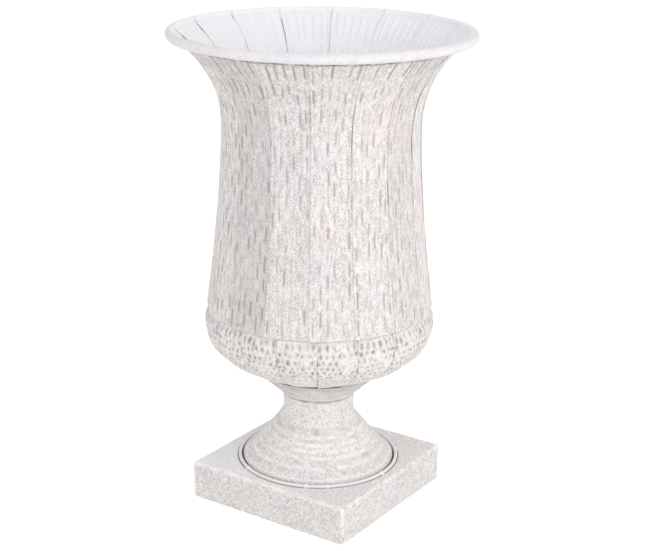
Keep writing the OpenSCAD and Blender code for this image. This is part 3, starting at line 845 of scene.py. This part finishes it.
# The body's staves.
# Sixteen gores of 0.8 mm steel, stamped with rows of upright dashes before they are bent to the
# waist and flared to the mouth. The stamp shows as hollows outside and as ribs inside, where the
# paint is smooth and clean.
DASH_COLUMNS = 6
DASH_BESIDE = 4
DASH_ROWS = 13
DASH_FIRST = 30.0
DASH_PERIOD = 25.0
DASH_HALF_WIDTH = 1.55
DASH_DEPTH = 0.75
RIB_HEIGHT = 1.9 * DASH_DEPTH
RIB_STRETCH = 0.6
FLATNESS = 0.6
STAVE_ROWS, STAVE_COLUMNS = 170, 84
MOUTH_CUT = 2.6
MOUTH_CUT_LENGTH = 118.0
RIM_REACH = 8.0
# How far the wash on each stave is rubbed thin, or laid on thicker below zero, at random; the darker tone
# at index 11 is painted shade on the vase's shaded left side, and index 15 is set a little darker
STAVE_TONES_AND_SHADE = np.random.default_rng(7).uniform(-0.12, 0.14, STAVES)
STAVE_TONES_AND_SHADE[11] = -0.3
STAVE_TONES_AND_SHADE[15] = -0.15
# How much more wash than elsewhere stays in the dashes of a stave: painted shade on the staves of the
# shaded left side
STAVE_DASH_SHADE = {9: 1.3, 10: 1.4, 11: 1.4}
# Where painted shade darkens a seam as if its lap stood open, by stave: the height of its middle and how
# far it runs each way
SHADED_SEAMS = {11: (412.0, 30.0), 12: (440.0, 18.0), 13: (418.0, 30.0), 14: (352.0, 12.0), 15: (440.0, 12.0)}

# The same whitewash on the stamped body, drawn out upright by the brush
stave_steel = sanded_whitewash("sanded_whitewash_on_stamped_steel", "#fffcf9", "#c5beb9", "#b1aaa3",
                               grit=1.05, patch=3.5, brushed=4.0, bump=1.1, inside="#fdfdff")


def dashes(turn, r, down, seed):
    """Depth of the stamped dashes over a stave, from 0 to 1, and how much wash stays in each. There
    are six columns to a stave, which spread with the flare, and r turns the angle off a column's
    line into mm. The first row is long and even, and the columns drift apart from row to row below."""
    rng = np.random.default_rng(seed)
    apart_by = 2 * np.pi / STAVES / DASH_COLUMNS
    column = turn / apart_by
    nearest = np.rint(column).astype(int).clip(-DASH_BESIDE, DASH_BESIDE)
    index = nearest + DASH_BESIDE
    each = (2 * DASH_BESIDE + 1, DASH_ROWS)
    drift = rng.normal(0, 0.5, each)
    shift = rng.normal(0, 2.2, each)
    half = rng.uniform(7.5, 11.0, each)
    half[:, 0] = rng.uniform(11.0, 15.0, each[0])
    deep = rng.uniform(0.65, 1.0, each)
    stained = rng.uniform(0.08, 0.85, each)
    depth = np.zeros(np.broadcast_shapes(turn.shape, down.shape))
    wash = depth.copy()
    for row in range(DASH_ROWS):
        apart = DASH_PERIOD / 2 * (index % 2) * min(row / 3, 1)
        off = np.abs(down - DASH_FIRST - DASH_PERIOD * row - apart - shift[index, row])
        side = (column - nearest) * apart_by * r - drift[index, row]
        ends = ((half[index, row] - off) / 4.0).clip(0, 1)
        shape = (1 - (side / DASH_HALF_WIDTH) ** 2).clip(0, 1) * ends * ends * (3 - 2 * ends)
        depth = np.maximum(depth, shape * deep[index, row])
        wash = np.maximum(wash, shape * stained[index, row])
    # More wash in the dashes near the top, under the rim, is painted shade
    return depth, wash * (1 + 0.4 * (1 - down / 90).clip(0, 1))


def stave_surface(index, rows, columns):
    """One stave: the body's outline turned through a sixteenth of a circle and its lap, flatter across than
    the circle between the laps, with its dashes pushed in and the sheet's thickness behind. Its hidden edge
    is cut back towards the mouth, to a narrow lap. It stands out from the circle by flatness times radius
    times half of the turn squared less a third of the half pitch squared. The marks paint shade into its
    seam, along the seam and on the ribs' flanks inside, and a shadow line under the rim."""
    pitch = 2 * math.pi / STAVES
    lap = LAP / WAIST_R
    setting = lap_set(stave_outline, Z_BODY, Z_TIPS - 0.008, STAVES)
    z, length = along(stave_outline, Z_BODY, Z_TIPS + 0.7, rows)
    r = stave_outline(z)[:, None]
    lean = slope(stave_outline, z)[:, None]
    z, down = z[:, None], (length[-1] - length)[:, None]
    across = np.linspace(0, 1, columns)[None, :]
    cut = math.radians(MOUTH_CUT) * np.sqrt(((z - Z_TIPS) / MOUTH_CUT_LENGTH + 1).clip(0, 1))
    phi = (pitch + lap - cut) * across - (pitch + lap) / 2
    depth, wash = dashes(phi, r, down, 400 + index)
    drawn_up = np.where(down < DASH_FIRST, DASH_FIRST - RIB_STRETCH * (DASH_FIRST - down), down)
    ribs = dashes(phi, r, drawn_up, 400 + index)[0]
    clear = ((Z_TIPS - RIM_REACH - z) / 4).clip(0, 1) * ((z - Z_BODY - 1) / 3).clip(0, 1)
    clear_inside = ((Z_TIPS - 2.6 - z) / 2).clip(0, 1) * ((z - Z_BODY - 1) / 3).clip(0, 1)
    n = np.stack([np.cos(lean) * np.cos(phi), np.cos(lean) * np.sin(phi), -np.sin(lean) + 0 * phi], -1)
    skin = np.stack([r * np.cos(phi), r * np.sin(phi), z + 0 * phi], -1)
    settled = ((Z_TIPS - RIM_REACH - z) / 50).clip(0, 1)
    bend = np.minimum(np.abs(phi), (pitch - lap) / 2)
    flat = FLATNESS * r * (bend ** 2 - (pitch / 2) ** 2 / 3) / 2 * settled
    spots = skin.reshape(-1, 3)
    bumps = waves(spots, 22.0, 500 + index).reshape(depth.shape) * 0.10
    bumps += waves(spots, 6.5, 520 + index).reshape(depth.shape) * 0.05
    rounded = 0.4 * ((across == 0) | (across == 1))
    back = skin + n * (flat + bumps * clear - RIB_HEIGHT * ribs * clear_inside - SHEET)[..., None]
    skin = skin + n * (flat + (bumps - DASH_DEPTH * depth - rounded) * clear)[..., None]
    turn = math.radians(STAVE_SEAM) + (pitch + lap) / 2 + math.asin(setting[0] / WAIST_R) + pitch * index
    height = np.broadcast_to(z, depth.shape).ravel()
    # Painted shade in the slit beside the seam, at random heights and at the listed seams
    open_at = waves(np.column_stack([0 * height + 40 * index, 0 * height, height]), 60.0, 63)
    slit_shade = (open_at.reshape(depth.shape) * 1.5 - 1.0).clip(0.08, 0.7)
    middle, reach = SHADED_SEAMS.get(index, (0, 1))
    slit_shade = np.maximum(slit_shade, np.exp(-(((z - middle) / reach) ** 4))) * clear
    beside = (phi - (pitch - lap) / 2) * r
    painted_shade = slit_shade * np.exp(-((beside / 0.75) ** 4)) * 0.8
    # Painted shade inside: along the seams above 440 mm and on the ribs' flanks
    parted = waves(np.column_stack([0 * height + 90 * index, 0 * height, height]), 26.0, 64)
    inside_shade = np.exp(-((((phi + cut + (pitch - lap) / 2) * r) / 0.6) ** 4)) * ((z - 440) / 20).clip(0, 1)
    inside_shade = inside_shade * (0.25 + 1.1 * parted.reshape(depth.shape)).clip(0.15, 0.9) + 0.12 * ribs * (1 - ribs)
    # A painted shadow line on the stave just under the rim
    rim_shadow = np.exp(-(((Z_TIPS - RIM_REACH - 1.8 - z) / 1.8) ** 2))
    rim_shadow = rim_shadow * (0.7 + 0.6 * waves(spots, 4.0, 540).reshape(depth.shape))
    wash = wash * STAVE_DASH_SHADE.get(index, 1.0)
    marks = {"stain_and_shade": np.stack([wash * clear, 0 * wash]), "inside": np.stack([0 * wash, 1 + 0 * wash]),
             "painted_shade": np.stack([np.maximum(painted_shade, rim_shadow), inside_shade]).clip(0, 1),
             "wear_and_painted_light": STAVE_TONES_AND_SHADE[index] + 0 * np.stack([wash, wash])}
    return seat(np.stack([skin, back]), turn, setting, Z_BODY), marks


stave_faces = panel_faces(STAVE_ROWS, STAVE_COLUMNS)
for index in range(STAVES):
    points, marks = stave_surface(index, STAVE_ROWS, STAVE_COLUMNS)
    stave = make_piece(f"stave_skin_{index + 1:02d}", points, stave_faces, stave_steel, marks)
    dress(stave, f"stave_{index + 1:02d}")

# The rim.
# A tube rolled from sheet and bent into a ring, open along its inner side, where the stave tips
# stand in it, so that no cut edge shows from outside. The brush left it almost white.
RIM_D = 10.0
RIM_R = MOUTH_R - 0.5
RIM_Z = Z_TIPS - 2.65
OPEN_FROM = math.radians(128.0)
OPEN_TO = math.radians(210.6)
INSIDE_SEAM = STAVE_SEAM + math.degrees(LAP / WAIST_R) - MOUTH_CUT
LIP_STEP = 0.76
RIM_ROWS, RIM_COLUMNS = 46, 900
# The run of paint, as places in the section, and the share of the inside's steps that each follows
PAINT_RUN = [(-3.5, 2.2), (-3.9, 0.1), (-3.3, 0.8)]
PAINT_FOLLOWS = (0.5, 1, 1)
paint_rows = slice(RIM_ROWS, RIM_ROWS + len(PAINT_RUN))
# Directions round the tube's section, from the opening's lower lip out and over to its upper lip
rim_sweep = np.linspace(OPEN_TO, OPEN_FROM + 2 * np.pi, RIM_ROWS)
# Where painted shade darkens the gap under the upper lip: the row, its reach in rows, then turn and reach
# of each
GAP_SHADE_ROW, GAP_SHADE_ROWS = 40.8, 2.0
LONG_GAP_SHADE = (-107.0, 8.0)
SHORT_GAP_SHADE = (-64.4, 1.2)


def rim_surface():
    """The tube's wall as a band round its section from one lip of the opening to the other, outside
    and inside, with paint run down from the upper lip to the staves' inner side, all carried round
    the mouth with slight hand-made swellings. The paint steps out at each inside seam and comes in
    again towards the next one, as the staves do."""
    circle = np.column_stack([np.cos(rim_sweep), np.sin(rim_sweep)])
    section = np.vstack([RIM_D / 2 * circle, PAINT_RUN, (RIM_D / 2 - SHEET) * circle[::-1]])
    around = np.linspace(0, 2 * np.pi, RIM_COLUMNS, endpoint=False)
    middle = np.stack([RIM_R * np.cos(around), RIM_R * np.sin(around), RIM_Z + 0 * around], -1)
    swell = 0.997 - 0.012 * np.abs(waves(middle, 26.0, 61)) - 0.006 * np.abs(waves(middle, 7.0, 62))
    past_seam = (np.degrees(around) - INSIDE_SEAM) * STAVES / 360 % 1
    follow = np.zeros((len(section), 1))
    follow[paint_rows, 0] = PAINT_FOLLOWS
    r = RIM_R + section[:, :1] * swell + follow * LIP_STEP * (1 - 2 * past_seam)
    z = RIM_Z + section[:, 1:] * swell
    return np.stack([r * np.cos(around), r * np.sin(around), z], -1)


rim_points = rim_surface()
rim_zero = np.zeros(rim_points.shape[:2])
rim_fade = (waves(rim_points.reshape(-1, 3), 20.0, 63).reshape(rim_zero.shape) * 0.2 + 0.25).clip(0, 1)
rim_lip = np.exp(-(((np.arange(len(rim_zero)) - GAP_SHADE_ROW) / GAP_SHADE_ROWS) ** 4))[:, None]
rim_turn = np.degrees(np.arctan2(rim_points[..., 1], rim_points[..., 0]))
rim_gap_shade = np.exp(-(((rim_turn - LONG_GAP_SHADE[0]) / LONG_GAP_SHADE[1]) ** 4))
rim_gap_shade = rim_gap_shade + np.exp(-(((rim_turn - SHORT_GAP_SHADE[0]) / SHORT_GAP_SHADE[1]) ** 2))
# Past the top of the section the whitewash turns into the inside's plain white
rim_inward = np.zeros(len(rim_zero))
rim_inward[:RIM_ROWS] = ((np.degrees(rim_sweep) - 360 - 75) / 30).clip(0, 1)
rim_inward[paint_rows] = 1
seam_turn = (rim_turn - INSIDE_SEAM + 180 / STAVES) % (360 / STAVES) - 180 / STAVES
seam_line = np.exp(-((np.radians(seam_turn) * RIM_R / 0.7) ** 4))
# Painted shade in the gap under the upper lip and along each inside seam
rim_shade = rim_lip * 0.85 * rim_gap_shade + 0.3 * seam_line * rim_inward[:, None]
rim_faces = quads(*rim_points.shape[:2], close_rows=True)
rim = make_piece("rim_tube", rim_points, rim_faces, rim_steel,
                 {"wear_and_painted_light": rim_fade, "stain_and_shade": rim_zero, "painted_shade": rim_shade.clip(0, 1),
                  "inside": rim_inward[:, None] + rim_zero})
dress(rim, "rim_bead")
